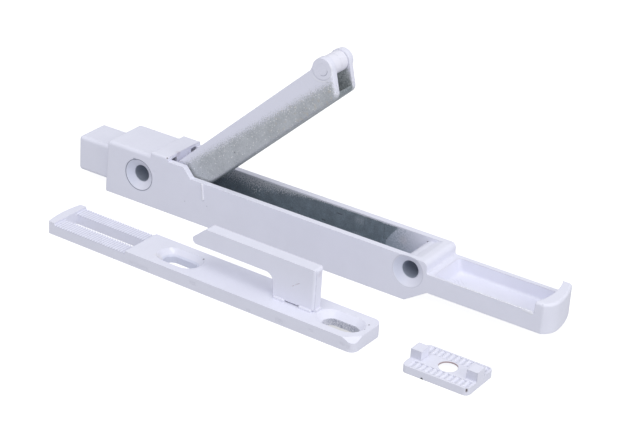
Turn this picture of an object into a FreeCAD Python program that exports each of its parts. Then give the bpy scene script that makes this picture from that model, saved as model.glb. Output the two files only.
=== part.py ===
"""Window restrictor set in millimetres: an arm unit, its hooked keep and a small clamping plate.

The arm unit is a die-cast channel body. A push button slides in its left end against a spring, and a
U-shaped arm with a roller between its two ears swings out of the channel about a pin near the button.
The keep is a flat plate with serrated rails at one end and an upright hook staked to its other half.
The clamping plate has matching ridges and two lugs that drop into the long slot of the keep.

X runs along the body from the button to the lip, Y runs from front to back, and Z is up. Everything
stands on Z = 0, and the origin is the middle of the whole set's footprint.
"""
import FreeCAD, Part
import math
import os
import re
import Sketcher

SIZES = (
    ("unit_x", -62.9, "left bottom front corner of the casting, from the middle of the set"),
    ("unit_y", 8.45, "front face of the casting, from the middle of the set"),
    ("body_depth", 14.65, "casting, front face to back face"),
    ("body_left", -0.4, "left end of the casting, at its top"),
    ("body_left_draft", 0.64, "how far the left end leans out at its foot"),
    ("block_height", 15.3, "solid block at the button end"),
    ("saddle_left", 14.6, "raised band, left side"),
    ("saddle_right", 20.3, "raised band, right side, also the left end of the open channel"),
    ("saddle_height", 16.35, "raised band, top"),
    ("cheek_height", 15.2, "side walls beside the pivot"),
    ("cheek_end", 25.5, "where the cheeks start to slope down"),
    ("rim_start", 28.0, "where the low rim starts"),
    ("rim_height", 12.45, "low rim of the channel"),
    ("wall", 1.8, "side walls of the channel"),
    ("floor", 2.2, "channel floor"),
    ("channel_end", 97.25, "right end of the channel at its rim"),
    ("ramp_end", 99.3, "right end of the shallow ramp beyond the channel"),
    ("ramp_drop", 0.6, "depth of that ramp at the channel"),
    ("end_face", 102.1, "right face of the end block"),
    ("keel_end", 96.3, "right end of the flat underside"),
    ("slope_end", 102.8, "where the sloping underside meets the tray"),
    ("tray_bottom", 4.23, "underside of the tray"),
    ("tray_rim", 9.32, "rim of the tray"),
    ("tray_floor", 5.4, "floor of the tray"),
    ("tray_left_top", 103.9, "left wall of the tray pocket at its rim"),
    ("tray_left", 104.9, "left wall of the tray pocket at its floor"),
    ("tray_corner", 1.2, "radius of the pocket's upright corners"),
    ("tray_foot", 0.9, "radius round the pocket's floor"),
    ("tray_front", 0.65, "inner face of the thin front rim"),
    ("tray_back_wall", 1.35, "thickness of the back rim"),
    ("lip_inner", 133.0, "inner face of the lip at both of its ends"),
    ("lip_inner_bow", 18.6, "radius of the hollow inner face"),
    ("lip_front", 135.25, "front edge of the lip's outer face"),
    ("lip_nose", 137.7, "farthest point of the lip"),
    ("lip_nose_back", 4.3, "that point, from the front face"),
    ("lip_back", 135.6, "back edge of the lip's outer face"),
    ("lip_front_bow", 5.0, "radius of the outer face near the front"),
    ("lip_back_bow", 26.5, "radius of the outer face near the back"),
    ("lip_top", 12.5, "top of the lip"),
    ("screw_left", 10.66, "left screw hole, along the body"),
    ("screw_right", 96.7, "right screw hole, along the body"),
    ("screw_height", 8.3, "both screw holes, above the underside"),
    ("screw_hole", 2.4, "radius of the screw holes"),
    ("screw_sink", 4.5, "radius of the countersinks at the front face"),
    ("sink_depth", 1.45, "depth of the countersinks"),
    ("screw_boss", 3.3, "radius of the boss round the right screw, from wall to wall"),
    ("button_left", -11.9, "outer end of the button"),
    ("button_half", 5.455, "half the width of the button"),
    ("button_bottom", 2.4, "button, underside"),
    ("button_top", 12.64, "button, top"),
    ("button_shoulder", 1.4, "inner end of the button"),
    ("button_pocket", 5.5, "inner end of its pocket in the casting"),
    ("slide_gap", 0.1, "gap all round the button and its bar"),
    ("bar_half", 4.425, "half the width of the release bar"),
    ("bar_top", 5.2, "release bar, top"),
    ("bar_end", 27.6, "release bar, right end"),
    ("bar_window_left", 15.5, "window of the bar, left end"),
    ("bar_window_right", 25.02, "window of the bar, the face that holds the arm's lug"),
    ("bar_window_half", 2.85, "half the width of that window"),
    ("button_travel", 4.0, "how far the button presses in"),
    ("stop_pin_radius", 1.0, "pin that keeps the slide in"),
    ("stop_pin_low", 0.2, "its lower end"),
    ("stop_pin_high", 4.9, "its upper end"),
    ("stop_slot_gap", 0.05, "gap beside that pin in its slot"),
    ("spring_radius", 1.7, "return spring, middle of the wire"),
    ("spring_wire", 0.45, "return spring, wire thickness"),
    ("spring_pitch", 1.8, "return spring, rise of each turn"),
    ("spring_height", 9.3, "return spring axis, above the underside"),
    ("spring_seat", -7.9, "bottom of the bore that holds the spring"),
    ("spring_bore", 2.15, "radius of that bore"),
    ("spring_gap", 0.02, "gap at each end of the spring"),
    ("heel_left", 15.4, "room for the arm's heel, left end"),
    ("tongue_bottom", 11.7, "underside of the tongue under the raised band"),
    ("tongue_half", 3.28, "half the width of that tongue"),
    ("heel_roof", 15.4, "roof of the room beside the tongue"),
    ("pivot_x", 23.5, "pivot, along the body"),
    ("pivot_z", 12.3, "pivot, above the underside"),
    ("pivot_radius", 1.5, "pivot pin"),
    ("pivot_front", 0.6, "front end of the pivot pin"),
    ("pivot_back", 14.35, "back end of the pivot pin"),
    ("running_gap", 0.05, "radial clearance of the arm and of the roller on their pins"),
    ("arm_raise", 43.3, "angle of the arm above the body, in degrees"),
    ("arm_width", 10.0, "arm, across"),
    ("arm_side", 2.0, "side plates of the arm"),
    ("arm_top", 3.0, "top of the arm above the pivot"),
    ("arm_bottom", 6.7, "underside of the arm below the pivot"),
    ("arm_web", 1.2, "web between the side plates"),
    ("heel_radius", 3.0, "round heel about the pivot"),
    ("heel_corner", 4.0, "left end of the arm's underside, from the pivot"),
    ("trough_start", 4.6, "left end of the arm's hollow, from the pivot"),
    ("lug_length", 7.9, "stop lug, from the pivot"),
    ("lug_half", 1.5, "half the thickness of the lug"),
    ("lug_width", 4.7, "lug, across"),
    ("roller_along", 59.5, "roller pin, along the arm from the pivot"),
    ("roller_up", 1.5, "roller pin, above the pivot's level in the arm"),
    ("ear_radius", 2.95, "round end of the ears"),
    ("ear_flank", 23.0, "rise of the flank behind the ears, in degrees to the arm"),
    ("ear_lean", 30.0, "lean of the ears' end, in degrees"),
    ("ear_foot", 2.0, "radius of the ears' lower corner"),
    ("ear_disc", 2.85, "radius of the raised disc on each ear"),
    ("ear_disc_rise", 0.15, "how far that disc stands out"),
    ("roller_pin_radius", 1.45, "roller pin"),
    ("roller_radius", 2.7, "roller"),
    ("roller_half", 2.9, "half the length of the roller"),
    ("keep_x", -58.86, "left front corner of the keep, from the middle of the set"),
    ("keep_y", -21.41, "the same corner, front to back"),
    ("keep_turn", -1.0, "how far the keep lies askew, in degrees"),
    ("keep_length", 97.3, "keep plate"),
    ("keep_width", 12.96, "keep plate"),
    ("keep_thick", 3.58, "keep plate"),
    ("keep_bow", 30.0, "radius of its bowed left end"),
    ("cap_length", 2.0, "plain raised end of the keep"),
    ("rail_end", 26.0, "right end of the serrated rails"),
    ("rail_drop", 0.55, "how far the rails lie below the plate"),
    ("tooth_pitch", 0.857, "serrations of the keep"),
    ("tooth_count", 28, "serrations of the keep"),
    ("tooth_depth", 0.42, "serrations of the keep"),
    ("tooth_half", 0.385, "half the mouth of each notch between the serrations"),
    ("long_slot_end", 25.6, "right end of the long slot"),
    ("long_slot_front", 4.4, "long slot, front side"),
    ("long_slot_back", 9.0, "long slot, back side"),
    ("hole_first", 39.0, "middle of the first slotted hole"),
    ("hole_spacing", 50.0, "from one slotted hole to the other"),
    ("hole_middle", 6.45, "both slotted holes, from the front side"),
    ("hole_half_run", 2.65, "half the distance between the two ends' centres"),
    ("hole_radius", 2.35, "half the width of the slotted holes"),
    ("hole_sink_radius", 4.1, "half the width of their countersinks"),
    ("hole_sink_depth", 1.75, "depth of their countersinks"),
    ("groove_left", 46.5, "roller groove, left end"),
    ("groove_right", 69.0, "roller groove, right end"),
    ("groove_front", 4.8, "roller groove, front edge"),
    ("groove_foot", 8.9, "roller groove, foot of its back wall"),
    ("groove_back", 10.75, "roller groove, top of its back wall"),
    ("groove_depth", 1.75, "roller groove"),
    ("groove_front_bow", 5.6, "radius of the groove's long front slope"),
    ("groove_back_bow", 1.9, "radius of the groove's back wall"),
    ("facet_reach", 3.6, "how far the falling right front corner reaches along each side"),
    ("facet_tilt", 31.0, "slope of that corner, in degrees"),
    ("hook_front", 5.15, "hook blade, front side"),
    ("hook_back", 8.75, "hook blade, back side"),
    ("hook_right", 81.6, "hook blade, right edge"),
    ("hook_left", 69.2, "hook blade, left edge of its root"),
    ("hook_top", 15.2, "hook blade, top"),
    ("hook_lift", 0.4, "gap under the blade between its feet"),
    ("finger_bottom", 10.1, "underside of the hook's finger"),
    ("finger_tip", 43.7, "tip of the finger"),
    ("finger_slant", 47.8, "where the finger's top starts to slant"),
    ("finger_slant_low", 11.8, "lower end of that slant"),
    ("finger_inner", 2.6, "radius inside the hook"),
    ("foot_left", 70.0, "first foot of the hook, left side"),
    ("foot_left_end", 73.0, "first foot, right side"),
    ("foot_right", 77.4, "second foot, left side"),
    ("foot_right_end", 81.0, "second foot, right side"),
    ("foot_bottom", 0.3, "lower end of both feet"),
    ("bead", 0.5, "how far the beads round the feet stand out"),
    ("bead_height", 0.65, "height of those beads above the plate"),
    ("clamp_x", 51.55, "left front corner of the clamping plate, from the middle of the set"),
    ("clamp_y", -22.45, "the same corner, front to back"),
    ("clamp_length", 18.45, "clamping plate"),
    ("clamp_width", 12.5, "clamping plate"),
    ("clamp_thick", 2.0, "clamping plate"),
    ("clamp_hole_x", 9.45, "its screw hole"),
    ("clamp_hole_y", 6.1, "its screw hole"),
    ("clamp_hole_radius", 2.42, "its screw hole"),
    ("clamp_hole_land", 0.35, "depth of that hole before it widens"),
    ("clamp_hole_wide", 3.2, "its radius where it meets the hollow"),
    ("clamp_roof", 0.8, "plate over its hollow underside"),
    ("clamp_wall", 1.3, "walls round the hollow underside"),
    ("lug_block", 2.9, "each raised lug, along the plate"),
    ("lug_block_front", 4.1, "each raised lug, front side"),
    ("lug_block_back", 7.9, "each raised lug, back side"),
    ("lug_block_rise", 2.5, "each raised lug, above the plate"),
    ("ridge_pitch", 1.5, "ridges of the clamping plate"),
    ("ridge_count", 11, "grooves between those ridges"),
    ("ridge_first", 2.2, "first groove, from the left end"),
    ("ridge_depth", 0.4, "grooves between the ridges"),
    ("ridge_half", 0.6, "half the mouth of each of those grooves"),
    ("ridge_front", 0.55, "front row of ridges, front end"),
    ("ridge_front_end", 3.4, "front row of ridges, back end"),
    ("ridge_back", 8.9, "back row of ridges, front end"),
    ("ridge_back_end", 12.0, "back row of ridges, back end"),
    ("edge_round", 1.0, "outer edges of the castings"),
    ("soft_edge", 0.4, "slightly rounded edges"),
    ("spare", 1.0, "how far a cut runs past a face"),
)

doc = FreeCAD.newDocument("WindowRestrictor")
sheet = doc.addObject("Spreadsheet::Sheet", "Sizes")
for row, (alias, size, note) in enumerate(SIZES, start=1):
    sheet.set("A%d" % row, note)
    sheet.set("B%d" % row, str(size))
    sheet.setAlias("B%d" % row, alias)
doc.recompute()

ALIAS = re.compile(r"\b(%s)\b" % "|".join(alias for alias, size, note in SIZES))
TURNS = {
    "X": FreeCAD.Rotation(FreeCAD.Vector(0, 1, 0), 90),
    "Y": FreeCAD.Rotation(FreeCAD.Vector(1, 0, 0), -90),
    "Z": FreeCAD.Rotation(),
}
WIRE_SIDES = 6
COIL_RUNS = 18
parts = []


def bound(text):
    """An expression in plain aliases, made to point at the sheet."""
    return ALIAS.sub(r"Sizes.\1", str(text))


def bind(thing, name, text):
    """Ties one property of a document object to an expression."""
    thing.setExpression(name, bound(text))


def number(text):
    """The present value of an expression."""
    return float(parts[-1].evalExpression(bound(text)))


def new_body(name, x="unit_x", y="unit_y", z="0"):
    """A PartDesign body that becomes one node, with its corner or axis at the place given."""
    body = doc.addObject("PartDesign::Body", name)
    body.Label = name
    for axis, text in zip("xyz", (x, y, z)):
        bind(body, "Placement.Base." + axis, text)
    parts.append(body)
    return body


def turn_body(body, axis, angle):
    """Turns a body about one axis by an expression in degrees."""
    body.Placement.Rotation = FreeCAD.Rotation(axis, number(angle))
    bind(body, "Placement.Rotation.Angle", angle)


def block(body, kind, name, low, high):
    """Adds or cuts a box between two corners given as expressions."""
    box = body.newObject("PartDesign::%sBox" % kind, name)
    for side, start, end in zip(("Length", "Width", "Height"), low, high):
        bind(box, side, "(%s) - (%s)" % (end, start))
    for axis, start in zip("xyz", low):
        bind(box, "Placement.Base." + axis, start)
    return box


def rod(body, kind, name, axis, start, radius, length):
    """Adds or cuts a round bar that starts at a point and runs along +X, +Y or +Z."""
    bar = body.newObject("PartDesign::%sCylinder" % kind, name)
    bar.Placement = FreeCAD.Placement(FreeCAD.Vector(), TURNS[axis])
    bind(bar, "Radius", radius)
    bind(bar, "Height", length)
    for letter, text in zip("xyz", start):
        bind(bar, "Placement.Base." + letter, text)
    return bar


def arc_between(start, end, radius):
    """The shorter arc from start to end whose centre lies left of the way, or right if negative."""
    chord = end - start
    reach = math.sqrt(radius * radius - (chord.Length / 2) ** 2)
    left = FreeCAD.Vector(-chord.y, chord.x, 0).normalize()
    centre = (start + end) / 2 + left * math.copysign(reach, radius)
    first, last = (start, end) if radius > 0 else (end, start)
    angles = [math.atan2(p.y - centre.y, p.x - centre.x) for p in (first, last)]
    circle = Part.Circle(centre, FreeCAD.Vector(0, 0, 1), abs(radius))
    return Part.ArcOfCircle(circle, angles[0], angles[1])


def outline(body, name, plane, lift, corners, aside="0"):
    """A closed, fully set sketch on an origin plane, lifted off it and moved aside along X.

    Each corner is (across, up), or (across, up, radius) where the line that leaves it is an arc.
    """
    sketch = body.newObject("Sketcher::SketchObject", name)
    planes = [f for f in body.Origin.OriginFeatures if f.Role == plane + "_Plane"]
    sketch.AttachmentSupport = [(planes[0], "")]
    sketch.MapMode = "FlatFace"
    bind(sketch, "AttachmentOffset.Base.z", "-(%s)" % lift if plane == "XZ" else lift)
    bind(sketch, "AttachmentOffset.Base.x", aside)
    points = [FreeCAD.Vector(number(c[0]), number(c[1]), 0) for c in corners]
    radii = [number(c[2]) if len(c) == 3 else 0 for c in corners]
    count = len(corners)
    starts = []
    for here, radius in enumerate(radii):
        start, end = points[here], points[(here + 1) % count]
        if radius:
            sketch.addGeometry(arc_between(start, end, radius), False)
        else:
            sketch.addGeometry(Part.LineSegment(start, end), False)
        starts.append(2 if radius < 0 else 1)
    for here in range(count):
        after = (here + 1) % count
        ends = 3 - starts[here]
        sketch.addConstraint(Sketcher.Constraint("Coincident", here, ends, after, starts[after]))
    for here, corner in enumerate(corners):
        for kind, axis, text in (("DistanceX", -2, corner[0]), ("DistanceY", -1, corner[1])):
            if number(text) == 0:
                on_axis = Sketcher.Constraint("PointOnObject", here, starts[here], axis)
                sketch.addConstraint(on_axis)
                continue
            away = Sketcher.Constraint(kind, -1, 1, here, starts[here], number(text))
            label = "%s%d" % (kind, here)
            sketch.renameConstraint(sketch.addConstraint(away), label)
            bind(sketch, "Constraints." + label, text)
        if radii[here]:
            bend = Sketcher.Constraint("Radius", here, abs(radii[here]))
            label = "Radius%d" % here
            sketch.renameConstraint(sketch.addConstraint(bend), label)
            bind(sketch, "Constraints." + label, "abs(%s)" % corner[2])
    return sketch


def extrude(body, kind, sketch, plane, length):
    """Pads or pockets a sketch towards +X, +Y or +Z, across its plane."""
    solid = body.newObject("PartDesign::" + kind, sketch.Name + kind)
    solid.Profile = sketch
    solid.Reversed = (plane == "XZ") == (kind == "Pad")
    bind(solid, "Length", length)
    sketch.Visibility = False
    return solid


def prism(body, kind, name, plane, low, high, corners):
    """An outline pushed from low to high along the axis across its plane."""
    sketch = outline(body, name, plane, low, corners)
    return extrude(body, kind, sketch, plane, "(%s) - (%s)" % (high, low))


def round_edges(body, name, radius, wanted):
    """Rounds every edge of the body so far whose bounding box passes the test."""
    doc.recompute()
    base = body.Tip
    names = ["Edge%d" % i for i, e in enumerate(base.Shape.Edges, start=1) if wanted(e.BoundBox)]
    fillet = body.newObject("PartDesign::Fillet", name)
    fillet.Base = (base, names)
    bind(fillet, "Radius", radius)
    return fillet


def near(value, text, slack=0.02):
    """Whether a measured value lies at an expression's place."""
    return abs(value - number(text)) < slack


def runs(box, axis, least=1.0):
    """Whether a bounding box is longer than least along one axis and thin along the others."""
    spans = {"X": box.XLength, "Y": box.YLength, "Z": box.ZLength}
    return spans.pop(axis) > least and max(spans.values()) < 0.02


def countersunk_hole(body, name, along):
    """A countersunk screw hole through the casting from front to back."""
    sketch = outline(body, name, "XY", "screw_height", (
        ("0", "0"), ("screw_sink", "0"), ("screw_hole", "sink_depth"),
        ("screw_hole", "body_depth + spare"), ("0", "body_depth + spare")), along)
    groove = body.newObject("PartDesign::Groove", name + "Groove")
    groove.Profile = sketch
    groove.ReferenceAxis = (sketch, ["V_Axis"])
    groove.Angle = 360
    sketch.Visibility = False
    return groove


def casting_outside(body):
    """The casting's solid outer form, with the tray and the lip."""
    prism(body, "Pad", "SideView", "XZ", "0", "body_depth", (
        ("body_left - body_left_draft", "0"), ("keel_end", "0"), ("slope_end", "tray_bottom"),
        ("slope_end", "tray_rim"), ("end_face", "tray_rim"), ("end_face", "rim_height"),
        ("rim_start", "rim_height"), ("cheek_end", "cheek_height"),
        ("saddle_right", "cheek_height"), ("saddle_right", "saddle_height"),
        ("saddle_left", "saddle_height"), ("saddle_left", "block_height"),
        ("body_left", "block_height")))
    prism(body, "Pad", "TrayPlan", "XY", "tray_bottom", "lip_top", (
        ("end_face", "0"), ("lip_front", "0", "lip_front_bow"),
        ("lip_nose", "lip_nose_back", "lip_back_bow"), ("lip_back", "body_depth"),
        ("end_face", "body_depth")))
    prism(body, "Pocket", "OverTray", "XY", "tray_rim", "lip_top + spare", (
        ("end_face", "-spare"), ("lip_inner", "-spare"), ("lip_inner", "0", "lip_inner_bow"),
        ("lip_inner", "body_depth"), ("lip_inner", "body_depth + spare"),
        ("end_face", "body_depth + spare")))


def round_casting(body):
    """The soft outer edges of the casting."""
    depth = number("body_depth")
    round_edges(body, "BlockEnd", "2 * soft_edge", lambda b: (
        b.XMax < 0.1 and (b.ZLength > 10 or b.ZMax < 0.1) and min(b.YLength, b.ZLength) < 0.1))
    round_edges(body, "EndBlockTop", "edge_round + soft_edge", lambda b: (
        runs(b, "Y", 10) and near(b.XMax, "end_face") and near(b.ZMax, "rim_height")))
    round_edges(body, "EndBlockFoot", "1.5 * soft_edge", lambda b: (
        runs(b, "Y", 10) and near(b.XMax, "end_face") and near(b.ZMin, "tray_rim")))
    round_edges(body, "LongEdges", "edge_round", lambda b: (
        b.ZMax < number("block_height") + 0.1 and b.ZMin > number("block_height") - 0.1
        and b.XMin > -1 and b.XMax < number("saddle_left") + 0.1
        and (b.YMax < 0.1 or b.YMin > depth - 0.1 or b.XMax < 1)))
    round_edges(body, "SaddleEdges", "edge_round - soft_edge", lambda b: (
        b.ZMin > number("saddle_height") - 0.02
        and (runs(b, "X") or near(b.XMax, "saddle_left"))))
    round_edges(body, "LipUprights", "edge_round", lambda b: (
        runs(b, "Z") and b.XMin > number("lip_front") - 0.1 and (b.YMax < 0.1 or b.YMin > depth - 0.1)))
    round_edges(body, "LipTop", "2 * soft_edge", lambda b: (
        b.ZMin > number("lip_top") - 0.02 and b.XMax > number("lip_front")))


def tray_pocket(body):
    """The tray's pocket with its slanting left wall and rounded corners."""
    back = "body_depth - tray_back_wall"
    prism(body, "Pocket", "TrayPocket", "XY", "tray_floor", "tray_rim + spare", (
        ("tray_left", "tray_front"), ("lip_inner", "tray_front", "lip_inner_bow"),
        ("lip_inner", back), ("tray_left", back)))
    prism(body, "Pocket", "TraySlope", "XZ", "tray_front", back, (
        ("tray_left_top", "tray_rim"), ("tray_left", "tray_floor"),
        ("tray_left + spare", "tray_floor"), ("tray_left + spare", "tray_rim + spare"),
        ("tray_left_top", "tray_rim + spare")))
    inside = number("tray_left_top") - 0.1, number("lip_inner") + 0.1
    round_edges(body, "TrayCorners", "tray_corner", lambda b: (
        inside[0] < b.XMin and b.XMax < inside[1] and near(b.ZMin, "tray_floor")
        and b.ZLength > 2 and b.YLength < 0.1))
    round_edges(body, "TrayFoot", "tray_foot", lambda b: (
        near(b.ZMin, "tray_floor") and b.ZLength < 0.1 and b.XMin > inside[0] and b.YMin > 0.1))


def casting_inside(body):
    """The channel, the tray pocket, the button's pocket and the room for the arm's heel."""
    inner_back = "body_depth - wall"
    middle = "body_depth / 2"
    block(body, "Subtractive", "Channel", ("saddle_right", "wall", "floor"),
          ("channel_end", inner_back, "saddle_height + spare"))
    prism(body, "Pocket", "Ramp", "XZ", "wall", inner_back, (
        ("channel_end - spare", "rim_height - ramp_drop"),
        ("channel_end", "rim_height - ramp_drop"), ("ramp_end", "rim_height"),
        ("ramp_end", "rim_height + spare"), ("channel_end - spare", "rim_height + spare")))
    tray_pocket(body)
    block(body, "Subtractive", "ButtonPocket",
          ("body_left - body_left_draft - spare", middle + " - button_half - slide_gap",
           "button_bottom - slide_gap"),
          ("button_pocket", middle + " + button_half + slide_gap", "button_top + slide_gap"))
    block(body, "Subtractive", "BarTunnel",
          ("button_pocket - spare", middle + " - bar_half - slide_gap", "button_bottom - slide_gap"),
          ("saddle_right + spare", middle + " + bar_half + slide_gap", "bar_top + slide_gap"))
    block(body, "Subtractive", "HeelRoom", ("heel_left", "wall", "floor"),
          ("saddle_right + spare", inner_back, "tongue_bottom"))
    block(body, "Subtractive", "FrontPocket", ("heel_left", "wall", "tongue_bottom - spare"),
          ("saddle_right + spare", middle + " - tongue_half", "heel_roof"))
    block(body, "Subtractive", "BackPocket",
          ("heel_left", middle + " + tongue_half", "tongue_bottom - spare"),
          ("saddle_right + spare", inner_back, "heel_roof"))


def casting_holes(body):
    """The two screw holes and the seats of the pins."""
    rod(body, "Additive", "ScrewBoss", "Y", ("screw_right", "wall - soft_edge", "screw_height"),
        "screw_boss", "body_depth - 2 * (wall - soft_edge)")
    countersunk_hole(body, "LeftScrew", "screw_left")
    countersunk_hole(body, "RightScrew", "screw_right")
    rod(body, "Subtractive", "PivotSeat", "Y", ("pivot_x", "pivot_front", "pivot_z"),
        "pivot_radius", "body_depth + spare - pivot_front")
    rod(body, "Subtractive", "StopPinSeat", "Z", ("screw_left", "body_depth / 2", "-spare"),
        "stop_pin_radius", "floor + 2 * spare")


def body_casting():
    """The die-cast body with its channel, tray and lip."""
    body = new_body("body_casting")
    casting_outside(body)
    round_casting(body)
    casting_inside(body)
    casting_holes(body)


def release_slide():
    """The push button with the flat bar that holds the arm's lug."""
    body = new_body("release_slide")
    middle = "body_depth / 2"
    block(body, "Additive", "Button", ("button_left", middle + " - button_half", "button_bottom"),
          ("button_shoulder", middle + " + button_half", "button_top"))
    round_edges(body, "ButtonEdges", "edge_round", lambda b: (
        runs(b, "X") or near(b.XMax, "button_left")))
    block(body, "Additive", "Bar",
          ("button_shoulder - spare", middle + " - bar_half", "button_bottom"),
          ("bar_end", middle + " + bar_half", "bar_top"))
    block(body, "Subtractive", "BarWindow",
          ("bar_window_left", middle + " - bar_window_half", "button_bottom - spare"),
          ("bar_window_right", middle + " + bar_window_half", "bar_top + spare"))
    block(body, "Subtractive", "StopSlot",
          ("screw_left - stop_pin_radius - button_travel - 2 * stop_slot_gap",
           middle + " - stop_pin_radius - stop_slot_gap", "button_bottom - spare"),
          ("screw_left + stop_pin_radius + stop_slot_gap",
           middle + " + stop_pin_radius + stop_slot_gap", "bar_top + spare"))
    rod(body, "Subtractive", "SpringBore", "X", ("spring_seat", middle, "spring_height"),
        "spring_bore", "button_shoulder + spare - spring_seat")


def return_spring():
    """The coil spring behind the button, its wire bent in short straight runs."""
    start = number("spring_seat + spring_wire / 2 + spring_gap")
    length = number("button_pocket - spring_seat - spring_wire - 2 * spring_gap")
    radius = number("spring_radius")
    runs = round(length / number("spring_pitch") * COIL_RUNS)
    corners = []
    for run in range(runs + 1):
        turn = 2 * math.pi * run / COIL_RUNS
        corners.append(FreeCAD.Vector(radius * math.cos(turn), radius * math.sin(turn),
                                      length * run / runs))
    wire = Part.makeCircle(number("spring_wire") / 2, corners[0], corners[1] - corners[0])
    flats = Part.makePolygon(wire.discretize(WIRE_SIDES + 1))
    spring = doc.addObject("Part::Feature", "return_spring")
    spring.Label = "return_spring"
    spring.Shape = Part.makePolygon(corners).makePipeShell([flats], True, False, 1)
    spring.Placement = FreeCAD.Placement(
        FreeCAD.Vector(number("unit_x") + start, number("unit_y + body_depth / 2"),
                       number("spring_height")), TURNS["X"])
    parts.append(spring)


def slide_stop_pin():
    """The dowel in the casting's floor that keeps the slide in."""
    body = new_body("slide_stop_pin", "unit_x + screw_left", "unit_y + body_depth / 2")
    rod(body, "Additive", "Dowel", "Z", ("0", "0", "stop_pin_low"), "stop_pin_radius",
        "stop_pin_high - stop_pin_low")


def pivot_pin():
    """The pin that the arm swings on."""
    body = new_body("pivot_pin", "unit_x + pivot_x", "unit_y", "pivot_z")
    rod(body, "Additive", "Pin", "Y", ("0", "pivot_front", "0"), "pivot_radius",
        "pivot_back - pivot_front")


def swing_arm():
    """The U-shaped arm, modelled lying flat about its pivot and then raised."""
    body = new_body("swing_arm", "unit_x + pivot_x", "unit_y + body_depth / 2", "pivot_z")
    half = "arm_width / 2"
    ear_x = "roller_along + ear_radius * cos(ear_lean)"
    ear_z = "roller_up - ear_radius * sin(ear_lean)"
    toe_x = ear_x + " - (arm_bottom + %s) * tan(ear_lean)" % ear_z
    toe = "ear_foot / tan(45 + ear_lean / 2)"
    prism(body, "Pad", "ArmSide", "XZ", "-" + half, half, (
        ("0", "heel_radius"), ("roller_along", "arm_top"),
        (ear_x, ear_z),
        (toe_x + " + %s * sin(ear_lean)" % toe, "%s * cos(ear_lean) - arm_bottom" % toe, "-ear_foot"),
        (toe_x + " - " + toe, "-arm_bottom"), ("heel_corner", "-arm_bottom"),
        ("0", "-heel_radius")))
    rod(body, "Additive", "Ears", "Y", ("roller_along", "-" + half, "roller_up"), "ear_radius",
        "arm_width")
    flank_run = "(ear_radius * cos(ear_flank) + roller_up - arm_top) / tan(ear_flank)"
    flank_end = "roller_along - ear_radius * sin(ear_flank)"
    prism(body, "Pad", "EarFlank", "XZ", "-" + half, half, (
        (flank_end + " - " + flank_run, "arm_top"),
        (flank_end, "roller_up + ear_radius * cos(ear_flank)"),
        ("roller_along", "roller_up"), ("roller_along", "roller_up - ear_radius / 2"),
        (flank_end + " - " + flank_run, "0")))
    round_edges(body, "ArmUnderside", "2 * soft_edge", lambda b: (
        runs(b, "X", 20) and near(b.ZMax, "-arm_bottom")))
    rod(body, "Additive", "Heel", "Y", ("0", "-" + half, "0"), "heel_radius", "arm_width")
    block(body, "Subtractive", "Trough",
          ("trough_start", "-%s + arm_side" % half, "-arm_bottom + arm_web"),
          ("roller_along + 2 * ear_radius", half + " - arm_side", "arm_top + 2 * ear_radius"))
    lug = body.newObject("PartDesign::AdditiveBox", "Lug")
    lug.Placement.Rotation = FreeCAD.Rotation(FreeCAD.Vector(0, 1, 0), number("90 + arm_raise"))
    bind(lug, "Placement.Rotation.Angle", "90 + arm_raise")
    bind(lug, "Placement.Base.x", "-lug_half * cos(arm_raise)")
    bind(lug, "Placement.Base.y", "-lug_width / 2")
    bind(lug, "Placement.Base.z", "lug_half * sin(arm_raise)")
    bind(lug, "Length", "lug_length")
    bind(lug, "Width", "lug_width")
    bind(lug, "Height", "2 * lug_half")
    rod(body, "Additive", "EarDiscs", "Y",
        ("roller_along", "-%s - ear_disc_rise" % half, "roller_up"), "ear_disc",
        "arm_side + ear_disc_rise")
    rod(body, "Additive", "BackEarDisc", "Y",
        ("roller_along", half + " - arm_side", "roller_up"), "ear_disc",
        "arm_side + ear_disc_rise")
    rod(body, "Subtractive", "RollerPinSeat", "Y",
        ("roller_along", "-%s - spare" % half, "roller_up"), "roller_pin_radius",
        "arm_width + 2 * spare")
    rod(body, "Subtractive", "PivotBore", "Y", ("0", "-%s - spare" % half, "0"),
        "pivot_radius + running_gap", "arm_width + 2 * spare")
    turn_body(body, FreeCAD.Vector(0, -1, 0), "arm_raise")


def on_arm(name):
    """A body on the arm's roller pin, raised with the arm."""
    along = "(roller_along * cos(arm_raise) - roller_up * sin(arm_raise))"
    above = "(roller_along * sin(arm_raise) + roller_up * cos(arm_raise))"
    body = new_body(name, "unit_x + pivot_x + " + along, "unit_y + body_depth / 2",
                    "pivot_z + " + above)
    turn_body(body, FreeCAD.Vector(0, -1, 0), "arm_raise")
    return body


def roller():
    """The roller between the ears."""
    body = on_arm("roller")
    rod(body, "Additive", "Drum", "Y", ("0", "-roller_half", "0"), "roller_radius",
        "2 * roller_half")
    rod(body, "Subtractive", "DrumBore", "Y", ("0", "-roller_half - spare", "0"),
        "roller_pin_radius + running_gap", "2 * roller_half + 2 * spare")


def roller_pin():
    """The pin that the roller turns on, flush with both discs."""
    body = on_arm("roller_pin")
    rod(body, "Additive", "Pin", "Y", ("0", "-arm_width / 2 - ear_disc_rise", "0"),
        "roller_pin_radius", "arm_width + 2 * ear_disc_rise")


def stadium(body, name, middle, lift, radius):
    """The outline of a slotted hole, each of its round ends made of two quarter arcs."""
    left, right = middle + " - hole_half_run", middle + " + hole_half_run"
    near_side, far_side = "hole_middle - " + radius, "hole_middle + " + radius
    return outline(body, name, "XY", lift, (
        (left, far_side, radius), (left + " - " + radius, "hole_middle", radius),
        (left, near_side), (right, near_side, radius),
        (right + " + " + radius, "hole_middle", radius), (right, far_side)))


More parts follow.
